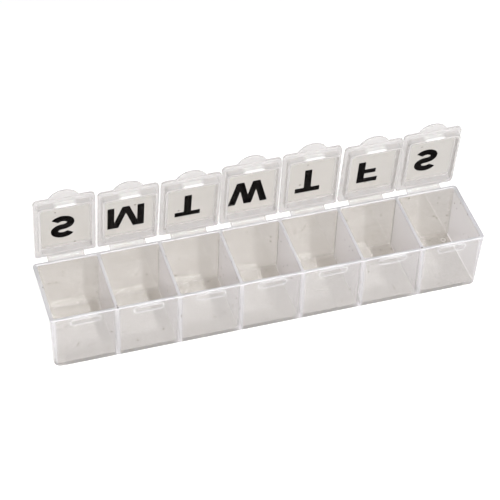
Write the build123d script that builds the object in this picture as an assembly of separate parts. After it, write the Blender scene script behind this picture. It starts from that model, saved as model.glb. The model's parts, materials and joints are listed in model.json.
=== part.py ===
"""A weekly pill organizer: one tray of seven compartments with seven flip lids.

All sizes are in millimetres. +X runs along the length, +Y from the front to the hinge side and +Z up.
The origin is the centre of the tray's underside. Each lid stands open on its own living hinge.
"""
import math
import os

from build123d import *

# The tray
LENGTH = 150.0
DEPTH = 27.6
HEIGHT = 22.15
FLOOR = 1.2
PITCH = 21.1
DIVIDER = 1.0
FRONT_WALL = 0.95
END_WALL = 1.35
RIM_CORNER = 1.3
BASE_CORNER = 2.5
END_TAPER = 0.75
SIDE_TAPER = 0.38
BASE_ROUND = 0.45
RIM_ROUND = 0.2
POCKET_DRAFT_DEG = 1.0
POCKET_CORNER = 0.8
POCKET_FOOT = 0.3

# The four small ring marks pressed into the underside near the corners
MARK_OUTER = 1.0
MARK_INNER = 0.5
MARK_DEEP = 0.25
MARK_INSET = 4.1

# The catch pocket inside the front wall of each compartment
CATCH_HALF_LENGTH = 5.0
CATCH_TOP = 1.4
CATCH_TALL = 2.4
CATCH_DEPTH = 0.45

# The lids
LID_GAP = 0.56
LID_THICK = 1.0
LID_LIFT = 0.15
LID_FRONT_CORNER = 1.6
LID_BACK_CORNER = 0.9
TAB_CHORD = 10.2
TAB_REACH = 3.1
TAB_THICK = 0.6
LID_ROUND = 0.15

# The plug frame under each lid
FRAME_HALF_WIDTH = 9.2
FRAME_BACK = 3.6
FRAME_FRONT = 26.25
FRAME_RIB = 0.8
FRAME_TALL = 2.4
FRAME_CORNER = 1.2
BEAD_HALF_LENGTH = 4.0
BEAD_RADIUS = 0.62
BEAD_DROP = 1.9
BEAD_STAND_OUT = 0.25

# The living hinges: the axis lies behind the rim by HINGE_REACH, level with the rim
HINGE_REACH = 1.05
HINGE_WIDTH = 12.5
HINGE_THICK = 0.3
HINGE_SINK = 0.2
HINGE_STEPS = 10

# The printed day initials
LETTER_TALL = 10.5
LETTER_STROKE = 2.5
LETTER_INK = 0.08
LETTER_FOOT = 18.1
LETTER_SHIFT = -0.6
LETTER_BAR = 2.1
T_BAR_WIDTH = 8.7
F_STEM_SHIFT = -2.4
F_ARM_WIDTH = 7.3
F_MIDDLE_SHIFT = -0.4
F_MIDDLE_WIDTH = 6.4
F_MIDDLE_BAR = 2.0
F_MIDDLE_RISE = 0.47
M_HALF_WIDTH = 6.2
M_STEM = 2.3
M_NOTCH = 3.3
M_SHOULDER = 2.5
M_INNER_TOP = 7.8
M_POINT = 1.2
W_HALF_WIDTH = 6.85
W_STROKE_TOP = 2.5
W_PEAK = 1.3
W_NOTCH = (2.75, 4.1)
W_OUTER_FOOT = 4.05
W_INNER_FOOT = 1.5
W_MIDDLE = 6.2
S_WIDTH = 8.0
S_START_DEG = 25
S_SWEEP_DEG = 245
S_STEPS = 24

# Day, printed initial and how far the lid stands open from closed, in degrees
DAYS = [
    ("sunday", "S", 83.5),
    ("monday", "M", 81.0),
    ("tuesday", "T", 80.5),
    ("wednesday", "W", 83.7),
    ("thursday", "T", 84.7),
    ("friday", "F", 81.3),
    ("saturday", "S", 82.8),
]

# Sizes worked out from the ones above
COUNT = len(DAYS)
LID_WIDTH = PITCH - LID_GAP
POCKET_DEPTH = DEPTH - 2 * FRONT_WALL
HINGE_Y = DEPTH / 2 + HINGE_REACH
HINGE_Z = HEIGHT


def lane_x(index):
    """The middle of one compartment along the length."""
    return (index - (COUNT - 1) / 2) * PITCH


def tray_block():
    """The tray's outer form: its walls lean out to the rim and its corners are rounder at the base."""
    base = RectangleRounded(LENGTH - 2 * END_TAPER, DEPTH - 2 * SIDE_TAPER, BASE_CORNER)
    rim = Pos(0, 0, HEIGHT) * RectangleRounded(LENGTH, DEPTH, RIM_CORNER)
    block = loft([base, rim], ruled=True)
    return fillet(block.faces().sort_by(Axis.Z)[0].edges(), BASE_ROUND)


def rounded_bar(half_length, thick, tall):
    """A flat bar with round ends: length along X, thickness along Y and height along Z."""
    outline = Plane.XZ * SlotOverall(2 * half_length, tall)
    return extrude(outline, amount=thick / 2, both=True)


def pocket_ends(index):
    """Where one compartment starts and ends along the length, at the rim."""
    half = (PITCH - DIVIDER) / 2
    start = lane_x(index) - half
    end = lane_x(index) + half
    if index == 0:
        start = END_WALL - LENGTH / 2
    if index == COUNT - 1:
        end = LENGTH / 2 - END_WALL
    return start, end


def pocket_block(index):
    """The space of one compartment, narrower at its floor, with a small round along the floor."""
    start, end = pocket_ends(index)
    tall = HEIGHT - FLOOR
    inset = tall * math.tan(math.radians(POCKET_DRAFT_DEG))
    width = end - start - 2 * inset
    outline = RectangleRounded(width, POCKET_DEPTH - 2 * inset, POCKET_CORNER - inset)
    pocket = extrude(outline, amount=tall, taper=-POCKET_DRAFT_DEG)
    pocket = fillet(pocket.faces().sort_by(Axis.Z)[0].edges(), POCKET_FOOT)
    return Pos((start + end) / 2, 0, FLOOR) * pocket


def ring_mark():
    """The shallow ring groove of one mark, opening downwards at z = 0."""
    return extrude(Circle(MARK_OUTER) - Circle(MARK_INNER), amount=MARK_DEEP)


def make_tray():
    """The tray moulding with its compartments, catch pockets and underside marks."""
    tray = tray_block()
    for index in range(COUNT):
        tray -= pocket_block(index)
    tray = fillet(tray.faces().sort_by(Axis.Z)[-1].edges(), RIM_ROUND)
    catch = rounded_bar(CATCH_HALF_LENGTH, 2 * CATCH_DEPTH, CATCH_TALL)
    catch_y = -DEPTH / 2 + FRONT_WALL
    catch_z = HEIGHT - CATCH_TOP - CATCH_TALL / 2
    for index in range(COUNT):
        tray -= Pos(lane_x(index), catch_y, catch_z) * catch
    for side_x in (-1, 1):
        for side_y in (-1, 1):
            mark_x = side_x * (LENGTH / 2 - MARK_INSET)
            mark_y = side_y * (DEPTH / 2 - MARK_INSET)
            tray -= Pos(mark_x, mark_y, 0) * ring_mark()
    return tray


def lid_plate():
    """The flat lid, closed, with the hinge axis on the X axis. Its front edge points along -Y."""
    middle_y = -HINGE_REACH - DEPTH / 2
    outline = Pos(0, middle_y) * Rectangle(LID_WIDTH, DEPTH)
    corners = outline.vertices().sort_by(Axis.Y)
    outline = fillet(corners[:2], LID_FRONT_CORNER)
    corners = outline.vertices().sort_by(Axis.Y)
    outline = fillet(corners[-2:], LID_BACK_CORNER)
    plate = extrude(outline, amount=LID_THICK)
    faces = plate.faces().sort_by(Axis.Z)
    rims = faces[0].edges() + faces[-1].edges()
    return Pos(0, 0, LID_LIFT) * fillet(rims, LID_ROUND)


def thumb_tab():
    """The thinner half-round tab on the lid's front edge, level with the lid's outer face."""
    half_chord = TAB_CHORD / 2
    radius = (half_chord**2 + TAB_REACH**2) / (2 * TAB_REACH)
    front_y = -HINGE_REACH - DEPTH
    disc = Pos(0, front_y - TAB_REACH + radius) * Cylinder(radius, TAB_THICK)
    disc = fillet(disc.edges(), LID_ROUND)
    keep_length = TAB_REACH + 2 * LID_ROUND
    keep = Pos(0, front_y - TAB_REACH / 2 + LID_ROUND) * Box(2 * radius, keep_length, TAB_THICK)
    return Pos(0, 0, LID_LIFT + LID_THICK - TAB_THICK / 2) * (disc & keep)


def plug_frame():
    """The raised frame under the lid that drops inside the compartment."""
    length = FRAME_FRONT - FRAME_BACK
    middle_y = -HINGE_REACH - (FRAME_FRONT + FRAME_BACK) / 2
    outer = RectangleRounded(2 * FRAME_HALF_WIDTH, length, FRAME_CORNER)
    inner_width = 2 * (FRAME_HALF_WIDTH - FRAME_RIB)
    inner = RectangleRounded(inner_width, length - 2 * FRAME_RIB, FRAME_CORNER - FRAME_RIB / 2)
    ring = extrude(outer - inner, amount=FRAME_TALL)
    ring = fillet(ring.faces().sort_by(Axis.Z)[0].edges(), LID_ROUND)
    return Pos(0, middle_y, LID_LIFT - FRAME_TALL) * ring


def snap_bead():
    """The round-ended bead along the end of the frame's front rib."""
    bead_y = -HINGE_REACH - FRAME_FRONT - BEAD_STAND_OUT + BEAD_RADIUS
    straight = BEAD_HALF_LENGTH - BEAD_RADIUS
    bead = Rotation(0, 90, 0) * Cylinder(BEAD_RADIUS, 2 * straight)
    for side in (-1, 1):
        bead += Pos(side * straight, 0, 0) * Sphere(BEAD_RADIUS)
    return Pos(0, bead_y, LID_LIFT - BEAD_DROP) * bead


def open_lid(shape, index, angle):
    """Turn a closed shape about the hinge axis and carry it to its place on the tray."""
    return Pos(lane_x(index), HINGE_Y, HINGE_Z) * Rotation(-angle, 0, 0) * shape


def make_lid():
    """One closed lid: plate, thumb tab, plug frame and snap bead in one moulding."""
    return lid_plate() + thumb_tab() + plug_frame() + snap_bead()


def curve_point(start, start_pull, end, end_pull, t):
    """A point and a direction on the smooth curve between two ends, each pulled along its tangent."""
    a = (1 - t) ** 3
    b = 3 * t * (1 - t) ** 2
    c = 3 * t * t * (1 - t)
    d = t**3
    near = (start[0] + start_pull[0], start[1] + start_pull[1])
    far = (end[0] - end_pull[0], end[1] - end_pull[1])
    point = [a * start[k] + b * near[k] + c * far[k] + d * end[k] for k in range(2)]
    run = [
        (1 - t) ** 2 * (near[k] - start[k])
        + 2 * t * (1 - t) * (far[k] - near[k])
        + t * t * (end[k] - far[k])
        for k in range(2)
    ]
    return point, run


def make_hinge(index, angle):
    """The thin web that leaves the back rim level and bends up into the lid's back edge."""
    turn = math.radians(angle)
    along = (-math.cos(turn), math.sin(turn))
    outward = (math.sin(turn), math.cos(turn))
    depth = HINGE_SINK + HINGE_THICK / 2
    edge = LID_LIFT + depth
    start = (DEPTH / 2, HEIGHT - depth)
    end = (
        HINGE_Y + along[0] * HINGE_REACH + outward[0] * edge,
        HINGE_Z + along[1] * HINGE_REACH + outward[1] * edge,
    )
    pull = 0.55 * HINGE_REACH
    start_pull = (pull, 0)
    end_pull = (along[0] * pull, along[1] * pull)
    upper = []
    lower = []
    for step in range(HINGE_STEPS + 1):
        point, run = curve_point(start, start_pull, end, end_pull, step / HINGE_STEPS)
        size = math.hypot(run[0], run[1])
        side = (-run[1] / size * HINGE_THICK / 2, run[0] / size * HINGE_THICK / 2)
        upper.append((point[0] + side[0], point[1] + side[1]))
        lower.append((point[0] - side[0], point[1] - side[1]))
    outline = Plane.YZ * make_face(Polyline(*(upper + lower[::-1]), close=True))
    web = extrude(outline, amount=HINGE_WIDTH / 2, both=True)
    return Pos(lane_x(index), 0, 0) * web


def letter_t():
    """The initial T as a flat outline, its foot on y = 0."""
    bar = Pos(0, LETTER_TALL - LETTER_BAR / 2) * Rectangle(T_BAR_WIDTH, LETTER_BAR)
    stem = Pos(0, LETTER_TALL / 2) * Rectangle(LETTER_STROKE, LETTER_TALL)
    return bar + stem


def letter_f():
    """The initial F as a flat outline, its foot on y = 0."""
    stem = Pos(F_STEM_SHIFT, LETTER_TALL / 2) * Rectangle(LETTER_STROKE, LETTER_TALL)
    top_arm = Pos(0, LETTER_TALL - LETTER_BAR / 2) * Rectangle(F_ARM_WIDTH, LETTER_BAR)
    middle_y = F_MIDDLE_RISE * LETTER_TALL
    middle_arm = Pos(F_MIDDLE_SHIFT, middle_y) * Rectangle(F_MIDDLE_WIDTH, F_MIDDLE_BAR)
    return stem + top_arm + middle_arm


def mirrored_outline(half):
    """A closed outline from the points of its right half, listed from the top to the foot."""
    left = [(-x, y) for x, y in reversed(half) if x > 0]
    return make_face(Polyline(*(half + left), close=True))


def letter_m():
    """The initial M as a flat outline, its foot on y = 0."""
    half = [
        (0, M_NOTCH),
        (M_SHOULDER, LETTER_TALL),
        (M_HALF_WIDTH, LETTER_TALL),
        (M_HALF_WIDTH, 0),
        (M_HALF_WIDTH - M_STEM, 0),
        (M_HALF_WIDTH - M_STEM, M_INNER_TOP),
        (M_POINT, 0),
    ]
    return mirrored_outline(half)


def letter_w():
    """The initial W as a flat outline, its foot on y = 0."""
    half = [
        (W_PEAK, LETTER_TALL),
        W_NOTCH,
        (W_HALF_WIDTH - W_STROKE_TOP, LETTER_TALL),
        (W_HALF_WIDTH, LETTER_TALL),
        (W_OUTER_FOOT, 0),
        (W_INNER_FOOT, 0),
        (0, W_MIDDLE),
    ]
    return mirrored_outline(half)


def letter_s():
    """The initial S as a flat outline, a stroke of even width along two half-turning bowls."""
    wide = (S_WIDTH - LETTER_STROKE) / 2
    tall = (LETTER_TALL - LETTER_STROKE) / 4
    step = S_SWEEP_DEG / S_STEPS
    upper = [(math.radians(S_START_DEG + step * k), tall) for k in range(S_STEPS + 1)]
    lower = [(math.radians(90 - step * k), -tall) for k in range(1, S_STEPS + 1)]
    sides = ([], [])
    for group, sense in ((upper, 1), (lower, -1)):
        for turn, lift in group:
            x = wide * math.cos(turn)
            y = tall * math.sin(turn) + lift
            run_x = -wide * math.sin(turn) * sense
            run_y = tall * math.cos(turn) * sense
            size = math.hypot(run_x, run_y)
            for side, sign in zip(sides, (1, -1)):
                shift_x = -run_y / size * LETTER_STROKE / 2 * sign
                shift_y = run_x / size * LETTER_STROKE / 2 * sign
                side.append((x + shift_x, y + shift_y + LETTER_TALL / 2))
    return make_face(Polyline(*(sides[0] + sides[1][::-1]), close=True))


LETTERS = {"S": letter_s, "M": letter_m, "T": letter_t, "W": letter_w, "F": letter_f}


def make_letter(initial):
    """One printed initial on the outer face of a closed lid, its foot towards the front."""
    outline = Pos(LETTER_SHIFT, -HINGE_REACH - LETTER_FOOT) * LETTERS[initial]()
    return Pos(0, 0, LID_LIFT + LID_THICK) * extrude(outline, amount=LETTER_INK)


def save(shape, node):
    """Write one node as a STEP file."""
    shape.label = node
    export_step(shape, f"parts/{node}.step")


os.makedirs("parts", exist_ok=True)
save(make_tray(), "tray")
closed_lid = make_lid()
for index, (day, initial, angle) in enumerate(DAYS):
    save(open_lid(closed_lid, index, angle), f"lid_{day}")
    save(make_hinge(index, angle), f"hinge_{day}")
    save(open_lid(make_letter(initial), index, angle), f"letter_{day}")
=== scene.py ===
"""Looks for the weekly pill organizer: milky plastic, printed initials and bending hinge webs.

Everything is in metres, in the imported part's own frame: +X runs along the tray from the first
day to the last, +Y runs to the hinge side and +Z is up. The tray stands on z = 0.
"""
import json
import math

import bpy
from mathutils import Matrix, Vector


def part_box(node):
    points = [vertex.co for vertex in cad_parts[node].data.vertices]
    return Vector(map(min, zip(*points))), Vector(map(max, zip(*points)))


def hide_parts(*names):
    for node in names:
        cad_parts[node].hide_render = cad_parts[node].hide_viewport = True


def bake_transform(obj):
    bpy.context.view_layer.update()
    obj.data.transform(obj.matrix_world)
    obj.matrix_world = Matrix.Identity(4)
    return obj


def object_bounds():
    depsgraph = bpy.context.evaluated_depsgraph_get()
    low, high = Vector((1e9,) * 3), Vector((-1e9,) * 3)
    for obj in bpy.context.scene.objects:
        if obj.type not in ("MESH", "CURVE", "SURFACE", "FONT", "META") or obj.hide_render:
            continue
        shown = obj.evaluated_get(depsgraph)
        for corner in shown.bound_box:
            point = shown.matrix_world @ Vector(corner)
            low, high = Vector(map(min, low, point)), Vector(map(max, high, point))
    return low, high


MM = 0.001

# How much clearer the milky plastic is where its haze is thin
HAZE_CLEAR = 0.02

# The fineness of the plastic's patterns, as noise scales for places in metres
CLOUD_FINE = 95
FLOW_FINE = 150
FLOW_STRETCH = (0.25, 1.0, 1.3)
GLOSS_FINE = 420
GRAIN_FINE = 700
GRAIN_HEIGHT = 0.01 * MM
WAVE_FINE = 90
WAVE_HEIGHT = 0.05 * MM
DRAWN_FINE = 300

# The specks of dirt: cells in a metre, the size of a dot within its cell and how dark it is
SPECK_CELLS = 800
SPECK_SIZE = 0.28
SPECK_DARK = 0.9
SPECK_COLOUR = (0.16, 0.13, 0.10, 1.0)

# The camera: where it aims, how far off it stands and how it is turned
CAMERA_AIM = Vector((-4.4, -1.6, 25.0)) * MM
CAMERA_DISTANCE = 634 * MM
CAMERA_HEADING_DEG = 17.82
CAMERA_DOWN_DEG = 43.67
CAMERA_ROLL_DEG = 1.68
CAMERA_LENS_MM = 137.4
SENSOR_MM = 36.0

# The studio: a softbox at the front right, a broad fill at the left, an overhead panel and a sky
SOFTBOX_TOWARDS = Vector((0.237, -0.683, 0.691))
SOFTBOX_DISTANCE = 0.90
SOFTBOX_SIZE = 0.50
SOFTBOX_WATTS = 7.0
OVERHEAD_HEIGHT = 1.1
OVERHEAD_SIZE = 1.2
OVERHEAD_WATTS = 0.6
FILL_TOWARDS = Vector((-0.80, -0.30, 0.52))
FILL_DISTANCE = 1.1
FILL_SIZE = 0.9
FILL_WATTS = 3.6
SKY_COLOUR = (1.0, 0.995, 0.99, 1.0)
SKY_STRENGTH = 0.26
FLOOR_HALF = 3.0
FLOOR_COLOUR = (0.90, 0.90, 0.90, 1.0)
FLOOR_GLOW = 0.32
FLOOR_GAP = 0.05 * MM

# How far the lid's clear panel lies in from the edges of the lid, how its border fades in, and
# how the whiter plug frame fades in below the plate
PANEL_SIDE = 1.87 * MM
PANEL_BACK = 4.4 * MM
PANEL_FRONT = 2.15 * MM
PANEL_FADE = 0.45 * MM
UNDER_FADE = 0.12 * MM

# The tray's painted light: its rims, its dividers and the strips where they meet the front wall are
# painted whiter for the light they catch
RIM_BAND = 0.45 * MM
RIM_FADE = 0.30 * MM
DIVIDER_HALF = 0.95 * MM
DIVIDER_FADE = 0.08 * MM
DIVIDER_END = 1.9 * MM
DIVIDER_END_FADE = 0.5 * MM
DIVIDER_FOOT = 0.6 * MM
STRIP_HALF = 0.85 * MM
STRIP_FADE = 0.50 * MM
STRIP_SHARE = 0.75

# How deep the front wall's painted light (a lighter tint) and the floor's painted shade (a darker
# tint) reach
FRONT_SKIN = 1.2 * MM
FLOOR_SKIN = 1.4 * MM
SKIN_FADE = 0.15 * MM

# The edge of each catch pocket, as it shows through the front wall, drawn as a painted highlight line
CATCH_HALF = 5.0 * MM
CATCH_MIDDLE = 2.6 * MM
CATCH_RADIUS = 1.2 * MM
CATCH_LINE = 0.20 * MM
CATCH_FADE = 0.12 * MM

# The ring marks under the tray's corners, as they show through the floor, their grooves painted white
# as a painted highlight
MARK_INSET = 4.1 * MM
MARK_REACH = 1.15 * MM
MARK_LOW = 0.06 * MM
MARK_HIGH = 0.41 * MM
MARK_FADE = 0.03 * MM

# The snap bead on each lid, painted white as a painted glint, and where it lies on the closed lid
BEAD_HALF = 3.3 * MM
BEAD_FADE = 0.7 * MM
BEAD_INSET = 1.34 * MM
BEAD_SKIN = 0.06 * MM
BEAD_GLINT_SHARE = 0.85

# The hinge webs, which run from the tray's back wall to each lid's back edge
WEB_THICK = 0.34 * MM
WEB_WAIST = 0.22 * MM
WEB_SINK = 0.35 * MM
LID_PLATE_MIDDLE = 0.65 * MM
WEB_BITE = 0.04 * MM
WEB_STEPS = 18
WEB_ACROSS = 10
WEB_EDGE_POINTS = 3
WEB_PULL = 0.55

# The printed ink: the fineness of its cover, its gloss and its grain
INK_COVER_FINE = 700
INK_GLOSS_FINE = 1300
INK_GRAIN_FINE = 2600
INK_GRAIN_STRENGTH = 0.15


# ---------------------------------------------------------------- node helpers
class Tree:
    """A material's node tree with short ways to add and join nodes."""

    def __init__(self, name):
        self.material = bpy.data.materials.new(name)
        self.material.use_nodes = True
        self.tree = self.material.node_tree
        self.tree.nodes.clear()
        self.place = self.add("ShaderNodeTexCoord").outputs["Object"]

    def add(self, kind, **settings):
        """Add a node and set its properties."""
        node = self.tree.nodes.new(kind)
        for key, value in settings.items():
            setattr(node, key, value)
        return node

    def join(self, source, target):
        """Link an output to an input."""
        self.tree.links.new(source, target)

    def stretched(self, scale):
        """The place on the object, stretched by a scale for each axis."""
        node = self.add("ShaderNodeMapping")
        node.inputs["Scale"].default_value = scale
        self.join(self.place, node.inputs["Vector"])
        return node.outputs["Vector"]

    def noise(self, scale, detail=3.0, rough=0.5, place=None):
        """A soft noise between 0 and 1."""
        node = self.add("ShaderNodeTexNoise")
        node.inputs["Scale"].default_value = scale
        node.inputs["Detail"].default_value = detail
        node.inputs["Roughness"].default_value = rough
        self.join(place or self.place, node.inputs["Vector"])
        return node.outputs["Fac"]

    def ranged(self, value, low, high, new_low, new_high):
        """A value carried from one range to another, and held inside the new one."""
        node = self.add("ShaderNodeMapRange")
        node.inputs["From Min"].default_value = low
        node.inputs["From Max"].default_value = high
        node.inputs["To Min"].default_value = new_low
        node.inputs["To Max"].default_value = new_high
        self.join(value, node.inputs["Value"])
        return node.outputs["Result"]

    def step(self, value, at, fade):
        """0 below a value and 1 above it, with a soft change over the fade on each side."""
        return self.ranged(value, at - fade, at + fade, 0.0, 1.0)

    def below(self, value, at, fade):
        """1 below a value and 0 above it, with a soft change over the fade on each side."""
        return self.ranged(value, at - fade, at + fade, 1.0, 0.0)

    def parts(self, vector):
        """The X, Y and Z of a vector."""
        node = self.add("ShaderNodeSeparateXYZ")
        self.join(vector, node.inputs["Vector"])
        return node.outputs["X"], node.outputs["Y"], node.outputs["Z"]

    def math(self, operation, first, second=0.0):
        """Two values joined by one sum. The second may be a plain number."""
        node = self.add("ShaderNodeMath", operation=operation)
        self.join(first, node.inputs[0])
        if isinstance(second, (int, float)):
            node.inputs[1].default_value = second
        else:
            self.join(second, node.inputs[1])
        return node.outputs[0]

    def size(self, value):
        """A value without its sign."""
        return self.math("ABSOLUTE", value)

    def all_of(self, first, *others):
        """The product of several shares: 1 only where each of them is 1."""
        share = first
        for other in others:
            share = self.math("MULTIPLY", share, other)
        return share

    def blended(self, share, first, second):
        """Two colours mixed by a share. Either one may be a plain colour."""
        node = self.add("ShaderNodeMix", data_type="RGBA")
        self.join(share, node.inputs[0])
        for socket, colour in ((node.inputs[6], first), (node.inputs[7], second)):
            if isinstance(colour, tuple):
                socket.default_value = colour
            else:
                self.join(colour, socket)
        return node.outputs[2]

    def between(self, share, first, second):
        """Two numbers mixed by a share. Either one may be a plain number."""
        node = self.add("ShaderNodeMix", data_type="FLOAT")
        self.join(share, node.inputs[0])
        for socket, value in ((node.inputs[2], first), (node.inputs[3], second)):
            if isinstance(value, (int, float)):
                socket.default_value = value
            else:
                self.join(value, socket)
        return node.outputs[0]

    def bump(self, height, strength, distance, after=None):
        """A bump from a height, on top of an earlier bump where one is given."""
        node = self.add("ShaderNodeBump")
        node.inputs["Strength"].default_value = strength
        node.inputs["Distance"].default_value = distance
        self.join(height, node.inputs["Height"])
        if after is not None:
            self.join(after, node.inputs["Normal"])
        return node.outputs["Normal"]

    def finish(self, shader):
        """Give the shader to the output."""
        output = self.add("ShaderNodeOutputMaterial")
        self.join(shader, output.inputs["Surface"])
        return self.material


# ---------------------------------------------------------------- materials
def specks(tree, scale, share, size):
    """Sparse tiny dots: 1 inside a dot and 0 elsewhere."""
    cells = tree.add("ShaderNodeTexVoronoi")
    cells.inputs["Scale"].default_value = scale
    tree.join(tree.place, cells.inputs["Vector"])
    near = tree.math("LESS_THAN", cells.outputs["Distance"], size)
    parts = tree.add("ShaderNodeSeparateColor")
    tree.join(cells.outputs["Color"], parts.inputs["Color"])
    chosen = tree.math("LESS_THAN", parts.outputs[0], share)
    return tree.math("MULTIPLY", near, chosen)


def milky_plastic(tree, look, zones):
    """Translucent moulded polypropylene: a milky body with a soft gloss on its skin.

    Each zone is a share, a colour, a clearness and a coat, laid over the zones before it.
    """
    cloud = tree.noise(CLOUD_FINE, detail=4.0, rough=0.55)
    flow = tree.noise(FLOW_FINE, detail=3.0, rough=0.5, place=tree.stretched(FLOW_STRETCH))
    haze = tree.ranged(tree.math("ADD", cloud, flow), 0.7, 1.3, 0.0, 1.0)
    body = tree.blended(haze, look["deep"], look["light"])
    clear = tree.ranged(haze, 0.0, 1.0, look["clear"], look["clear"] + HAZE_CLEAR)
    coat = look["coat"]
    for share, zone_colour, zone_clear, zone_coat in zones:
        body = tree.blended(share, body, zone_colour)
        clear = tree.between(share, clear, zone_clear)
        coat = tree.between(share, coat, zone_coat)
    dirt = specks(tree, SPECK_CELLS, look["speck_share"], SPECK_SIZE)
    colour = tree.blended(tree.math("MULTIPLY", dirt, SPECK_DARK), body, SPECK_COLOUR)

    shader = tree.add("ShaderNodeBsdfPrincipled")
    shader.inputs["IOR"].default_value = look["bending"]
    shader.inputs["Coat Roughness"].default_value = look["coat_rough"]
    shader.inputs["Coat IOR"].default_value = look["coat_bending"]
    tree.join(colour, shader.inputs["Base Color"])
    tree.join(clear, shader.inputs["Transmission Weight"])
    tree.join(coat, shader.inputs["Coat Weight"])
    low, high = look["rough"]
    rough = tree.ranged(tree.noise(GLOSS_FINE, detail=5.0, rough=0.6), 0.3, 0.7, low, high)
    tree.join(rough, shader.inputs["Roughness"])
    skin = tree.bump(tree.noise(GRAIN_FINE, detail=2.0), look["grain"], GRAIN_HEIGHT)
    wave = tree.bump(tree.noise(WAVE_FINE, detail=1.0), look["wave"], WAVE_HEIGHT, after=skin)
    tree.join(wave, shader.inputs["Normal"])

    open_air = tree.add("ShaderNodeBsdfTransparent")
    open_air.inputs["Color"].default_value = look["lamp_tint"]
    lamp = tree.add("ShaderNodeLightPath")
    mix = tree.add("ShaderNodeMixShader")
    tree.join(lamp.outputs["Is Shadow Ray"], mix.inputs[0])
    tree.join(shader.outputs[0], mix.inputs[1])
    tree.join(open_air.outputs[0], mix.inputs[2])
    return tree.finish(mix.outputs[0])


def apart(tree, first, second):
    """The length of a flat vector with these two sides."""
    squares = tree.math("ADD", tree.math("POWER", first, 2.0), tree.math("POWER", second, 2.0))
    return tree.math("SQRT", squares)


def catch_line(tree, from_middle, z, rim):
    """1 along the round-ended edge of each catch pocket and 0 elsewhere."""
    past = tree.math("MAXIMUM", tree.math("SUBTRACT", from_middle, CATCH_HALF - CATCH_RADIUS), 0.0)
    rise = tree.math("SUBTRACT", z, rim - CATCH_MIDDLE)
    away = tree.size(tree.math("SUBTRACT", apart(tree, past, tree.size(rise)), CATCH_RADIUS))
    return tree.below(away, CATCH_LINE, CATCH_FADE)


def ring_marks(tree, high):
    """1 inside the grooves of the four ring marks and 0 elsewhere."""
    x, y, z = tree.parts(tree.place)
    along = tree.size(tree.math("SUBTRACT", tree.size(x), high.x - MARK_INSET))
    across = tree.size(tree.math("SUBTRACT", tree.size(y), high.y - MARK_INSET))
    near = tree.below(apart(tree, along, across), MARK_REACH, MARK_FADE)
    sunk = tree.below(z, MARK_HIGH, MARK_FADE)
    off_base = tree.step(z, MARK_LOW, MARK_FADE)
    return tree.all_of(near, sunk, off_base)


def tray_plastic():
    """The tray's plastic, with painted light on the front wall, the dividers, the rims, the divider
    strips, the catch pocket edges and the ring marks, and painted shade on the floor.
    """
    look = {
        "light": (0.60, 0.575, 0.55, 1.0),
        "deep": (0.56, 0.535, 0.505, 1.0),
        "clear": 0.79,
        "rough": (0.04, 0.07),
        "bending": 1.25,
        "coat": 1.0,
        "coat_rough": 0.03,
        "coat_bending": 1.9,
        "grain": 0.03,
        "wave": 0.015,
        "lamp_tint": (0.86, 0.85, 0.84, 1.0),
        "speck_share": 0.04,
    }
    tree = Tree("tray_plastic")
    low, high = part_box("tray")
    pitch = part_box("lid_monday")[0].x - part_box("lid_sunday")[0].x
    x, y, z = tree.parts(tree.place)
    from_middle = tree.math("PINGPONG", x, pitch / 2)
    front = tree.below(y, low.y + FRONT_SKIN, SKIN_FADE)
    floor = tree.below(z, FLOOR_SKIN, SKIN_FADE)
    wall = tree.step(from_middle, pitch / 2 - DIVIDER_HALF, DIVIDER_FADE)
    inland = tree.below(tree.size(y), high.y - DIVIDER_END, DIVIDER_END_FADE)
    off_base = tree.step(z, DIVIDER_FOOT, DIVIDER_FADE)
    divider = tree.all_of(wall, inland, off_base)
    junction_highlight = tree.all_of(tree.step(from_middle, pitch / 2 - STRIP_HALF, STRIP_FADE), front)
    junction_highlight = tree.math("MULTIPLY", junction_highlight, STRIP_SHARE)
    rim = tree.step(z, high.z - RIM_BAND, RIM_FADE)
    catch_highlight = tree.all_of(catch_line(tree, from_middle, z, high.z), front)
    ring = ring_marks(tree, high)
    zones = [
        # painted shade: the floor's skin tinted darker
        (floor, (0.49, 0.465, 0.435, 1.0), 0.80, 1.0),
        # painted light: the dividers whiter and less clear
        (divider, (0.985, 0.965, 0.985, 1.0), 0.36, 1.0),
        # painted light: the front wall's skin tinted lighter
        (front, (0.78, 0.765, 0.765, 1.0), 0.87, 0.7),
        # painted highlight: a whiter strip where each divider meets the front wall
        (junction_highlight, (0.87, 0.87, 0.905, 1.0), 0.60, 0.7),
        # painted highlight: a light line along each catch pocket's edge
        (catch_highlight, (0.98, 0.98, 1.0, 1.0), 0.72, 1.0),
        # painted highlight: the ring marks' grooves painted white
        (ring, (1.0, 1.0, 1.0, 1.0), 0.0, 1.0),
        # painted highlight: a whiter band along the top of the walls
        (rim, (0.85, 0.85, 0.89, 1.0), 0.45, 1.0),
    ]
    return milky_plastic(tree, look, zones)


def closed_place(tree, joint):
    """The place on a lid as if the lid were closed, measured from its hinge axis."""
    node = tree.add("ShaderNodeMapping", vector_type="TEXTURE")
    node.inputs["Location"].default_value = joint["pos_m"]
    node.inputs["Rotation"].default_value = (math.radians(joint["range_deg"][0]), 0, 0)
    tree.join(tree.place, node.inputs["Vector"])
    return tree.parts(node.outputs["Vector"])


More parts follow.
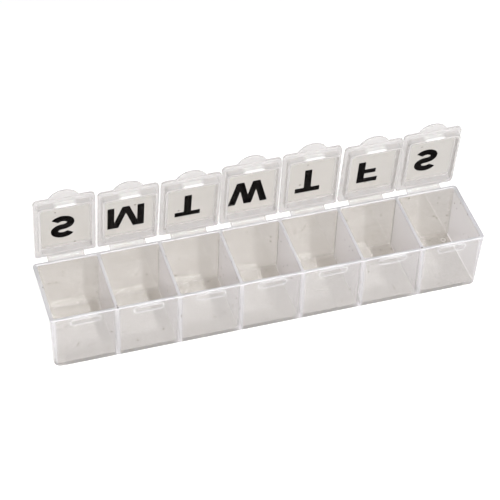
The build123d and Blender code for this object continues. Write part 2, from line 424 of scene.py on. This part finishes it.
def lid_plastic(day, joint):
    """One lid's plastic: a clear grey panel inside a whiter border, plug frame and thumb tab, with a
    painted glint whitening the snap bead.
    """
    look = {
        "light": (0.615, 0.59, 0.565, 1.0),
        "deep": (0.595, 0.57, 0.54, 1.0),
        "clear": 1.0,
        "rough": (0.12, 0.16),
        "bending": 1.15,
        "coat": 0.0,
        "coat_rough": 0.05,
        "coat_bending": 1.5,
        "grain": 0.02,
        "wave": 0.05,
        "lamp_tint": (0.90, 0.89, 0.88, 1.0),
        "speck_share": 0.003,
    }
    tree = Tree(f"lid_plastic_{day}")
    low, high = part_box(f"lid_{day}")
    tray_low, tray_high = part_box("tray")
    reach = joint["pos_m"][1] - tray_high.y
    depth = tray_high.y - tray_low.y
    x, y, z = closed_place(tree, joint)
    side = tree.step(tree.size(x), (high.x - low.x) / 2 - PANEL_SIDE, PANEL_FADE)
    back = tree.step(y, -reach - PANEL_BACK, PANEL_FADE)
    front = tree.below(y, PANEL_FRONT - reach - depth, PANEL_FADE)
    under = tree.below(z, 0.0, UNDER_FADE)
    border = tree.math("MAXIMUM", tree.math("MAXIMUM", side, under), tree.math("MAXIMUM", back, front))
    # Where the bead's painted glint goes: its outer face, near the middle of the lid
    outermost = tree.below(y, BEAD_INSET - reach - depth, BEAD_SKIN)
    central = tree.below(tree.size(x), BEAD_HALF, BEAD_FADE)
    bead_glint = tree.all_of(outermost, under, central)
    zones = [
        (border, (0.715, 0.70, 0.695, 1.0), 0.62, 0.8),
        # painted glint: the snap bead's outer face painted white
        (tree.math("MULTIPLY", bead_glint, BEAD_GLINT_SHARE), (1.0, 1.0, 1.0, 1.0), 0.15, 1.0),
    ]
    return milky_plastic(tree, look, zones)


def web_plastic():
    """The hinge webs' plastic, milky and whiter where the bending has drawn it thin."""
    look = {
        "light": (0.70, 0.685, 0.67, 1.0),
        "deep": (0.65, 0.635, 0.615, 1.0),
        "clear": 0.80,
        "rough": (0.12, 0.18),
        "bending": 1.3,
        "coat": 0.2,
        "coat_rough": 0.08,
        "coat_bending": 1.5,
        "grain": 0.04,
        "wave": 0.05,
        "lamp_tint": (0.90, 0.90, 0.89, 1.0),
        "speck_share": 0.0,
    }
    tree = Tree("hinge_plastic")
    drawn = tree.ranged(tree.noise(DRAWN_FINE), 0.4, 0.7, 0.0, 0.6)
    return milky_plastic(tree, look, [(drawn, (0.80, 0.80, 0.82, 1.0), 0.70, 0.3)])


def printed_ink(name):
    """Black pad-printed ink: slightly uneven, with a faint satin skin."""
    tree = Tree(name)
    shader = tree.add("ShaderNodeBsdfPrincipled")
    cover = tree.ranged(tree.noise(INK_COVER_FINE, detail=5.0, rough=0.65), 0.35, 0.75, 0.0, 1.0)
    colour = tree.blended(cover, (0.002, 0.0015, 0.002, 1.0), (0.006, 0.005, 0.006, 1.0))
    tree.join(colour, shader.inputs["Base Color"])
    rough = tree.ranged(tree.noise(INK_GLOSS_FINE, detail=3.0), 0.3, 0.7, 0.42, 0.58)
    tree.join(rough, shader.inputs["Roughness"])
    grain = tree.noise(INK_GRAIN_FINE, detail=2.0)
    tree.join(tree.bump(grain, INK_GRAIN_STRENGTH, GRAIN_HEIGHT), shader.inputs["Normal"])
    shader.inputs["Specular IOR Level"].default_value = 0.03
    return tree.finish(shader.outputs[0])


def floor_paint(name):
    """Plain pale studio paper."""
    tree = Tree(name)
    shader = tree.add("ShaderNodeBsdfPrincipled")
    shader.inputs["Base Color"].default_value = FLOOR_COLOUR
    shader.inputs["Roughness"].default_value = 0.9
    shader.inputs["Specular IOR Level"].default_value = 0.1
    shader.inputs["Emission Color"].default_value = (1.0, 1.0, 1.0, 1.0)
    shader.inputs["Emission Strength"].default_value = FLOOR_GLOW
    return tree.finish(shader.outputs[0])


def paint(piece, material):
    """Give a piece one material in place of any it has."""
    piece.data.materials.clear()
    piece.data.materials.append(material)


# ---------------------------------------------------------------- hinge webs
def web_line(start, end, towards):
    """A point and its outward side on the web's middle line, as a function of t from 0 to 1."""
    reach = (end - start).length * WEB_PULL
    near = start + Vector((reach, 0))
    far = end - towards * reach

    def at(t):
        a = (1 - t) ** 3
        b = 3 * t * (1 - t) ** 2
        c = 3 * t * t * (1 - t)
        d = t**3
        point = a * start + b * near + c * far + d * end
        run = (1 - t) ** 2 * (near - start) + 2 * t * (1 - t) * (far - near) + t * t * (end - far)
        run.normalize()
        return point, Vector((-run.y, run.x))

    return at


def web_ring(middle_x, half_width, thick):
    """The web's cross-section as (x, lift) points: two flat sides and two round edges."""
    radius = thick / 2
    inner = half_width - radius
    ring = []
    for step in range(WEB_ACROSS + 1):
        ring.append((middle_x - inner + 2 * inner * step / WEB_ACROSS, radius))
    for step in range(1, WEB_EDGE_POINTS + 1):
        turn = math.pi / 2 - math.pi * step / (WEB_EDGE_POINTS + 1)
        ring.append((middle_x + inner + radius * math.cos(turn), radius * math.sin(turn)))
    for step in range(WEB_ACROSS + 1):
        ring.append((middle_x + inner - 2 * inner * step / WEB_ACROSS, -radius))
    for step in range(1, WEB_EDGE_POINTS + 1):
        turn = -math.pi / 2 - math.pi * step / (WEB_EDGE_POINTS + 1)
        ring.append((middle_x - inner + radius * math.cos(turn), radius * math.sin(turn)))
    return ring


def make_web(day, joint, material):
    """The bending web of one lid, from the tray's back wall to the lid's back edge."""
    low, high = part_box(f"hinge_{day}")
    tray_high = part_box("tray")[1]
    pivot = Vector(joint["pos_m"][1:])
    turn = math.radians(-joint["range_deg"][0])
    along = Vector((-math.cos(turn), math.sin(turn)))
    outward = Vector((math.sin(turn), math.cos(turn)))
    reach = pivot.x - tray_high.y
    start = Vector((tray_high.y - WEB_BITE, tray_high.z - WEB_SINK))
    end = pivot + along * (reach + WEB_BITE) + outward * LID_PLATE_MIDDLE
    line = web_line(start, end, along)
    half_width = (high.x - low.x) / 2
    middle_x = (high.x + low.x) / 2

    points = []
    for step in range(WEB_STEPS + 1):
        t = step / WEB_STEPS
        waist = math.sin(math.pi * t) ** 2
        thick = WEB_THICK + (WEB_WAIST - WEB_THICK) * waist
        centre, side = line(t)
        for x, lift in web_ring(middle_x, half_width, thick):
            spot = centre + side * lift
            points.append((x, spot.x, spot.y))
    count = len(points) // (WEB_STEPS + 1)
    faces = []
    for step in range(WEB_STEPS):
        for k in range(count):
            after = (k + 1) % count
            first = step * count
            faces.append((first + k, first + after, first + count + after, first + count + k))
    faces.append(tuple(reversed(range(count))))
    faces.append(tuple(range(WEB_STEPS * count, (WEB_STEPS + 1) * count)))

    mesh = bpy.data.meshes.new(f"web_{day}")
    mesh.from_pydata(points, [], faces)
    mesh.validate()
    mesh.polygons.foreach_set("use_smooth", [len(p.vertices) == 4 for p in mesh.polygons])
    web = bpy.data.objects.new(f"web_{day}", mesh)
    bpy.context.scene.collection.objects.link(web)
    paint(web, material)
    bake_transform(web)
    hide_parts(f"hinge_{day}")
    return web


# ---------------------------------------------------------------- studio
def add_camera():
    """The camera, placed by its aim, heading, tilt and roll."""
    heading = math.radians(CAMERA_HEADING_DEG)
    down = math.radians(CAMERA_DOWN_DEG)
    roll = math.radians(CAMERA_ROLL_DEG)
    forward = Vector(
        (math.sin(heading) * math.cos(down), math.cos(heading) * math.cos(down), -math.sin(down))
    )
    level = forward.cross(Vector((0, 0, 1))).normalized()
    upright = level.cross(forward)
    right = level * math.cos(roll) + upright * math.sin(roll)
    up = right.cross(forward)
    data = bpy.data.cameras.new("camera")
    data.lens = CAMERA_LENS_MM
    data.sensor_width = SENSOR_MM
    data.clip_start = 0.01
    data.clip_end = 20.0
    camera = bpy.data.objects.new("camera", data)
    bpy.context.scene.collection.objects.link(camera)
    turned = Matrix((right, up, -forward)).transposed().to_4x4()
    camera.matrix_world = Matrix.Translation(CAMERA_AIM - forward * CAMERA_DISTANCE) @ turned
    bpy.context.scene.camera = camera


def add_panel(name, place, aim, size, watts):
    """A square area light that faces a point."""
    data = bpy.data.lights.new(name, "AREA")
    data.shape = "SQUARE"
    data.size = size
    data.energy = watts
    panel = bpy.data.objects.new(name, data)
    panel.location = place
    panel.rotation_mode = "QUATERNION"
    panel.rotation_quaternion = (aim - place).to_track_quat("-Z", "Y")
    bpy.context.scene.collection.objects.link(panel)


def add_lights(centre):
    """The softbox, the broad fill at the left, the overhead panel and the even sky."""
    softbox = centre + SOFTBOX_TOWARDS.normalized() * SOFTBOX_DISTANCE
    add_panel("softbox", softbox, centre, SOFTBOX_SIZE, SOFTBOX_WATTS)
    fill = centre + FILL_TOWARDS.normalized() * FILL_DISTANCE
    add_panel("fill", fill, centre, FILL_SIZE, FILL_WATTS)
    overhead = centre + Vector((0, 0, OVERHEAD_HEIGHT))
    add_panel("overhead", overhead, centre, OVERHEAD_SIZE, OVERHEAD_WATTS)
    world = bpy.data.worlds.new("sky")
    world.use_nodes = True
    background = world.node_tree.nodes["Background"]
    background.inputs["Color"].default_value = SKY_COLOUR
    background.inputs["Strength"].default_value = SKY_STRENGTH
    bpy.context.scene.world = world


def add_floor():
    """The plain floor that the tray stands on."""
    half = FLOOR_HALF
    mesh = bpy.data.meshes.new("floor")
    corners = [(-half, -half, 0), (half, -half, 0), (half, half, 0), (-half, half, 0)]
    mesh.from_pydata(corners, [], [(0, 1, 2, 3)])
    floor = bpy.data.objects.new("floor", mesh)
    floor.location.z = -FLOOR_GAP
    bpy.context.scene.collection.objects.link(floor)
    paint(floor, floor_paint("floor_paper"))


def set_rendering():
    """Plain colours and a cleaned picture, with enough bounces for the clear walls."""
    scene = bpy.context.scene
    scene.view_settings.view_transform = "Standard"
    scene.cycles.use_denoising = True
    scene.cycles.max_bounces = 16
    scene.cycles.diffuse_bounces = 5
    scene.cycles.glossy_bounces = 5
    scene.cycles.transmission_bounces = 14
    scene.cycles.transparent_max_bounces = 24
    scene.cycles.sample_clamp_indirect = 6.0


# ---------------------------------------------------------------- the object
def dress(frame):
    """Materials for the CAD nodes, and the webs that stand for the CAD hinges."""
    web_material = web_plastic()
    ink = printed_ink("print_ink")
    paint(frame["nodes"]["tray"], tray_plastic())
    for joint in frame["joints"]:
        day = joint["name"].removeprefix("flip_")
        paint(frame["nodes"][f"lid_{day}"], lid_plastic(day, joint))
        paint(frame["nodes"][f"letter_{day}"], ink)
        make_web(day, joint, web_material)


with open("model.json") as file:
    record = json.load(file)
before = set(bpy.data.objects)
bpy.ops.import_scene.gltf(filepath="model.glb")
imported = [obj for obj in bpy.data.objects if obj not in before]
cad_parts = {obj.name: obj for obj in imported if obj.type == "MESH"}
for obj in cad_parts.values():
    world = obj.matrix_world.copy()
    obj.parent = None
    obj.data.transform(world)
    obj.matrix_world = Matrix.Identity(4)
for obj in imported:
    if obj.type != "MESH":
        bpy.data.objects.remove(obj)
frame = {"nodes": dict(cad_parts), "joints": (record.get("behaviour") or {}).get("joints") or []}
cad_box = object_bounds()
dress(frame)
add_camera()
add_lights((cad_box[0] + cad_box[1]) / 2)
add_floor()
set_rendering()
